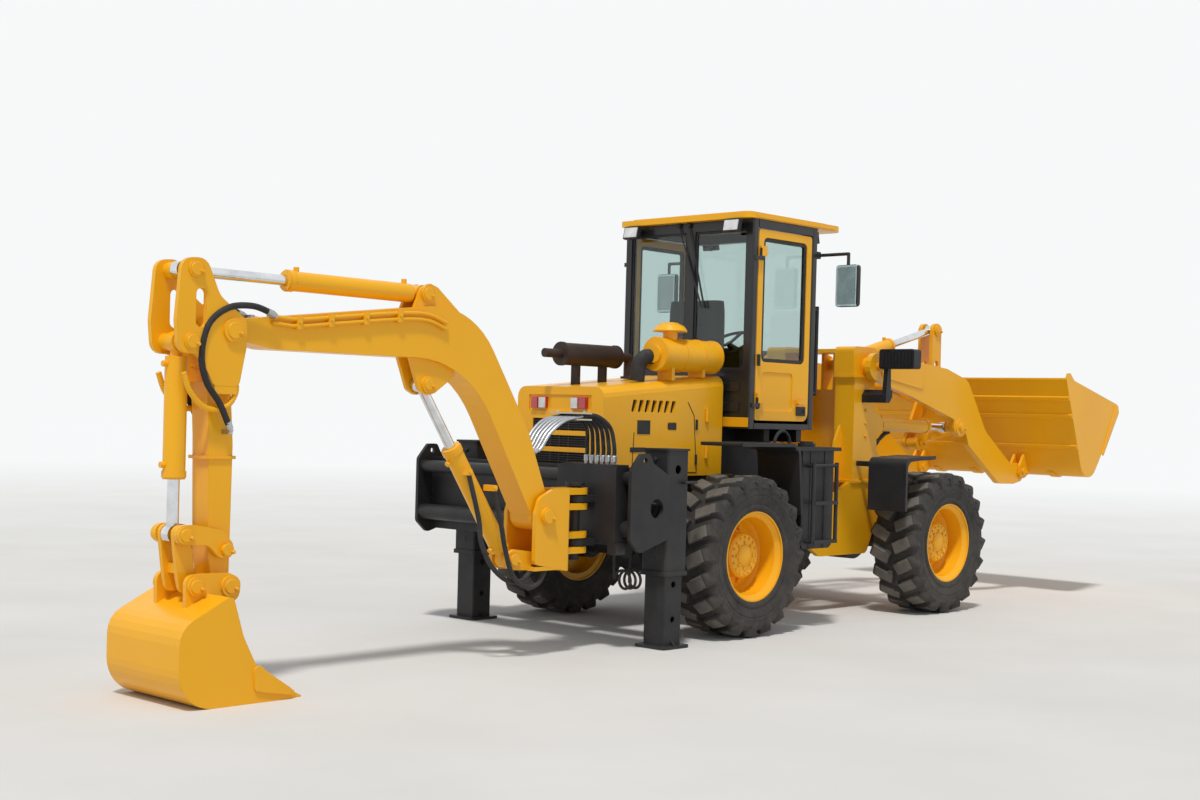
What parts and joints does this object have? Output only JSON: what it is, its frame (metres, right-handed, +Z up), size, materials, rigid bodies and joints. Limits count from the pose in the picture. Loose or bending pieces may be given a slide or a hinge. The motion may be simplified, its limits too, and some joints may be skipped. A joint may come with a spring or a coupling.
{
  "type": "backhoe loader",
  "caption": "Articulated backhoe loader with a glazed cab, a front loader bucket on lift arms, a side-shift hoe on a slide frame and vertical outriggers.",
  "frame": {"origin": "on the ground under the middle of the machine's overall length and width", "axes": "+X towards the front bucket, +Y to the machine's left, +Z up"},
  "size_m": [9.386, 2.138, 2.8945],
  "materials": {
    "yellow_paint": "semi-gloss machine yellow",
    "black_paint": "semi-gloss black",
    "engine_metal": "painted castings",
    "rust_brown": "heat-browned steel",
    "lamp_plastic": "red lamp lenses",
    "black_plastic": "black plastic",
    "seat_fabric": "dark cloth",
    "clear_glass": "tinted glass",
    "rod_chrome": "hard chrome",
    "tyre_rubber": "dusty black rubber"
  },
  "bodies": {
    "rear_frame": {"rear_chassis": "black_paint", "rear_axle": "black_paint", "transfer_box": "engine_metal", "engine": "engine_metal", "hood": "yellow_paint", "rear_lamps": "lamp_plastic", "work_lamps": "black_paint", "muffler": "rust_brown", "air_cleaner": "yellow_paint", "cab_frame": "black_paint", "cab_roof": "yellow_paint", "cab_glass": "clear_glass", "seat_base": "black_plastic", "operator_seat": "seat_fabric", "steering_console": "black_plastic", "side_tanks": "black_paint", "hand_rails": "black_paint", "mirrors": "black_plastic", "slide_frame": "black_paint", "outrigger_posts": "black_paint"},
    "right_leg_body": {"right_leg": "black_paint"},
    "left_leg_body": {"left_leg": "black_paint"},
    "right_door_body": {"right_door": "yellow_paint", "right_door_glass": "clear_glass"},
    "left_door_body": {"left_door": "yellow_paint", "left_door_glass": "clear_glass"},
    "front_frame": {"front_chassis": "yellow_paint", "front_axle": "black_paint", "front_fenders": "black_paint", "head_lamps": "black_paint"},
    "rear_right_wheel": {"rear_right_tyre": "tyre_rubber", "rear_right_rim": "yellow_paint"},
    "rear_left_wheel": {"rear_left_tyre": "tyre_rubber", "rear_left_rim": "yellow_paint"},
    "front_right_wheel": {"front_right_tyre": "tyre_rubber", "front_right_rim": "yellow_paint"},
    "front_left_wheel": {"front_left_tyre": "tyre_rubber", "front_left_rim": "yellow_paint"},
    "loader_arms_body": {"loader_arms": "yellow_paint"},
    "lift_barrels_body": {"lift_barrels": "yellow_paint"},
    "lift_rods_body": {"lift_rods": "rod_chrome"},
    "tilt_barrel_body": {"tilt_barrel": "yellow_paint"},
    "tilt_rod_body": {"tilt_rod": "rod_chrome"},
    "rocker_body": {"rocker": "yellow_paint"},
    "tilt_link_body": {"tilt_link": "yellow_paint"},
    "loader_bucket_body": {"loader_bucket": "yellow_paint"},
    "carriage_body": {"carriage": "black_paint"},
    "swing_bracket_body": {"swing_bracket": "yellow_paint"},
    "boom_body": {"boom": "yellow_paint"},
    "boom_barrel_body": {"boom_barrel": "yellow_paint"},
    "boom_rod_body": {"boom_rod": "rod_chrome"},
    "stick_body": {"stick": "yellow_paint"},
    "stick_barrel_body": {"stick_barrel": "yellow_paint"},
    "stick_rod_body": {"stick_rod": "rod_chrome"},
    "bucket_barrel_body": {"bucket_barrel": "yellow_paint"},
    "bucket_rod_body": {"bucket_rod": "rod_chrome"},
    "guide_link_body": {"guide_link": "yellow_paint"},
    "h_link_body": {"h_link": "yellow_paint"},
    "hoe_bucket_body": {"hoe_bucket": "yellow_paint"}
  },
  "joints": [
    {"name": "rear_right_spin", "type": "hinge", "parent": "rear_frame", "child": "rear_right_wheel", "pos_m": [-0.337, -0.805, 0.54], "axis": [0, 1, 0], "continuous": true},
    {"name": "rear_left_spin", "type": "hinge", "parent": "rear_frame", "child": "rear_left_wheel", "pos_m": [-0.337, 0.805, 0.54], "axis": [0, 1, 0], "continuous": true},
    {"name": "articulation", "type": "hinge", "parent": "rear_frame", "child": "front_frame", "pos_m": [0.813, 0, 0.71], "axis": [0, 0, 1], "range_deg": [-33, 33]},
    {"name": "front_right_spin", "type": "hinge", "parent": "front_frame", "child": "front_right_wheel", "pos_m": [2.063, -0.805, 0.54], "axis": [0, 1, 0], "continuous": true},
    {"name": "front_left_spin", "type": "hinge", "parent": "front_frame", "child": "front_left_wheel", "pos_m": [2.063, 0.805, 0.54], "axis": [0, 1, 0], "continuous": true},
    {"name": "right_door_swing", "type": "hinge", "parent": "rear_frame", "child": "right_door_body", "pos_m": [0.118, -0.614, 2], "axis": [0, 0, -1], "range_deg": [0, 80]},
    {"name": "left_door_swing", "type": "hinge", "parent": "rear_frame", "child": "left_door_body", "pos_m": [0.118, 0.614, 2], "axis": [0, 0, 1], "range_deg": [0, 80]},
    {"name": "right_leg_lift", "type": "slide", "parent": "rear_frame", "child": "right_leg_body", "axis": [0, 0, 1], "range_m": [0, 0.4]},
    {"name": "left_leg_lift", "type": "slide", "parent": "rear_frame", "child": "left_leg_body", "axis": [0, 0, 1], "range_m": [0, 0.4]},
    {"name": "loader_lift", "type": "hinge", "parent": "front_frame", "child": "loader_arms_body", "pos_m": [1.723, 0, 1.88], "axis": [0, -1, 0], "range_deg": [-24, 60]},
    {"name": "loader_tilt", "type": "hinge", "parent": "loader_arms_body", "child": "loader_bucket_body", "pos_m": [3.953, 0, 1.06], "axis": [0, 1, 0], "range_deg": [0, 90]},
    {"name": "lift_barrel_turn", "type": "hinge", "parent": "front_frame", "child": "lift_barrels_body", "pos_m": [1.923, 0, 1.43], "axis": [0, -1, 0], "range_deg": [-24.98, 61.7]},
    {"name": "lift_rod_slide", "type": "slide", "parent": "lift_barrels_body", "child": "lift_rods_body", "axis": [1, 0, -0.0049], "range_m": [-0.1905, 0.4732]},
    {"name": "tilt_barrel_turn", "type": "hinge", "parent": "front_frame", "child": "tilt_barrel_body", "pos_m": [1.903, 0, 1.905], "axis": [0, -1, 0], "range_deg": [-26.18, 64.7]},
    {"name": "tilt_rod_slide", "type": "slide", "parent": "tilt_barrel_body", "child": "tilt_rod_body", "axis": [0.9701, 0, 0.2425], "range_m": [-0.5266, 0.002]},
    {"name": "rocker_turn", "type": "hinge", "parent": "loader_arms_body", "child": "rocker_body", "pos_m": [3.283, 0, 1.69], "axis": [0, -1, 0], "range_deg": [-0.5, 60.44]},
    {"name": "tilt_link_turn", "type": "hinge", "parent": "rocker_body", "child": "tilt_link_body", "pos_m": [3.063, 0, 1.285], "axis": [0, -1, 0], "range_deg": [-69.62, 0.5]},
    {"name": "side_shift", "type": "slide", "parent": "rear_frame", "child": "carriage_body", "axis": [0, 1, 0], "range_m": [0, 1.3]},
    {"name": "hoe_swing", "type": "hinge", "parent": "carriage_body", "child": "swing_bracket_body", "pos_m": [-1.737, -0.66, 0.78], "axis": [0, 0, 1], "range_deg": [-75, 75]},
    {"name": "boom_lift", "type": "hinge", "parent": "swing_bracket_body", "child": "boom_body", "pos_m": [-2.107, -0.66, 0.843], "axis": [0, 1, 0], "range_deg": [-60, 30]},
    {"name": "stick_turn", "type": "hinge", "parent": "boom_body", "child": "stick_body", "pos_m": [-4.307, -0.66, 1.815], "axis": [0, -1, 0], "range_deg": [-70, 40]},
    {"name": "bucket_curl", "type": "hinge", "parent": "stick_body", "child": "hoe_bucket_body", "pos_m": [-4.304, -0.66, 0.557], "axis": [0, -1, 0], "range_deg": [-40, 85]},
    {"name": "boom_barrel_turn", "type": "hinge", "parent": "swing_bracket_body", "child": "boom_barrel_body", "pos_m": [-2.312, -0.66, 0.59], "axis": [0, 1, 0], "range_deg": [-59.88, 30.19]},
    {"name": "boom_rod_slide", "type": "slide", "parent": "boom_barrel_body", "child": "boom_rod_body", "axis": [-0.5615, 0, 0.8274], "range_m": [-0.3123, 0.1571]},
    {"name": "stick_barrel_turn", "type": "hinge", "parent": "boom_body", "child": "stick_barrel_body", "pos_m": [-3.017, -0.66, 2.09], "axis": [0, -1, 0], "range_deg": [-7.29, 4.38]},
    {"name": "stick_rod_slide", "type": "slide", "parent": "stick_barrel_body", "child": "stick_rod_body", "axis": [-1, 0, 0.0066], "range_m": [-0.3685, 0.2114]},
    {"name": "bucket_barrel_turn", "type": "hinge", "parent": "stick_body", "child": "bucket_barrel_body", "pos_m": [-4.542, -0.66, 1.75], "axis": [0, -1, 0], "range_deg": [-2.2, 1.3]},
    {"name": "bucket_rod_slide", "type": "slide", "parent": "bucket_barrel_body", "child": "bucket_rod_body", "axis": [0, 0, -1], "range_m": [-0.1214, 0.2557]},
    {"name": "guide_link_turn", "type": "hinge", "parent": "stick_body", "child": "guide_link_body", "pos_m": [-4.307, -0.66, 0.735], "axis": [0, -1, 0], "range_deg": [-32.5, 68.5]},
    {"name": "h_link_turn", "type": "hinge", "parent": "guide_link_body", "child": "h_link_body", "pos_m": [-4.542, -0.66, 0.812], "axis": [0, -1, 0], "range_deg": [-43, 20.5]}
  ],
  "couplings": [
    {"joint": "lift_barrel_turn", "follows": "loader_lift", "ratio": 1.02},
    {"joint": "lift_rod_slide", "follows": "loader_lift", "m_per_rad": 0.45},
    {"joint": "tilt_barrel_turn", "follows": "loader_lift", "ratio": 1.07},
    {"joint": "tilt_rod_slide", "follows": "loader_tilt", "m_per_rad": -0.334},
    {"joint": "rocker_turn", "follows": "loader_tilt", "ratio": 0.666},
    {"joint": "tilt_link_turn", "follows": "loader_tilt", "ratio": -0.768},
    {"joint": "boom_barrel_turn", "follows": "boom_lift", "ratio": 0.9896},
    {"joint": "boom_rod_slide", "follows": "boom_lift", "m_per_rad": 0.2963},
    {"joint": "stick_barrel_turn", "follows": "stick_turn", "ratio": 0.097},
    {"joint": "stick_rod_slide", "follows": "stick_turn", "m_per_rad": 0.3},
    {"joint": "guide_link_turn", "follows": "bucket_curl", "ratio": 0.8},
    {"joint": "h_link_turn", "follows": "bucket_curl", "ratio": -0.5},
    {"joint": "bucket_barrel_turn", "follows": "bucket_curl", "ratio": -0.02},
    {"joint": "bucket_rod_slide", "follows": "bucket_curl", "m_per_rad": 0.171}
  ]
}
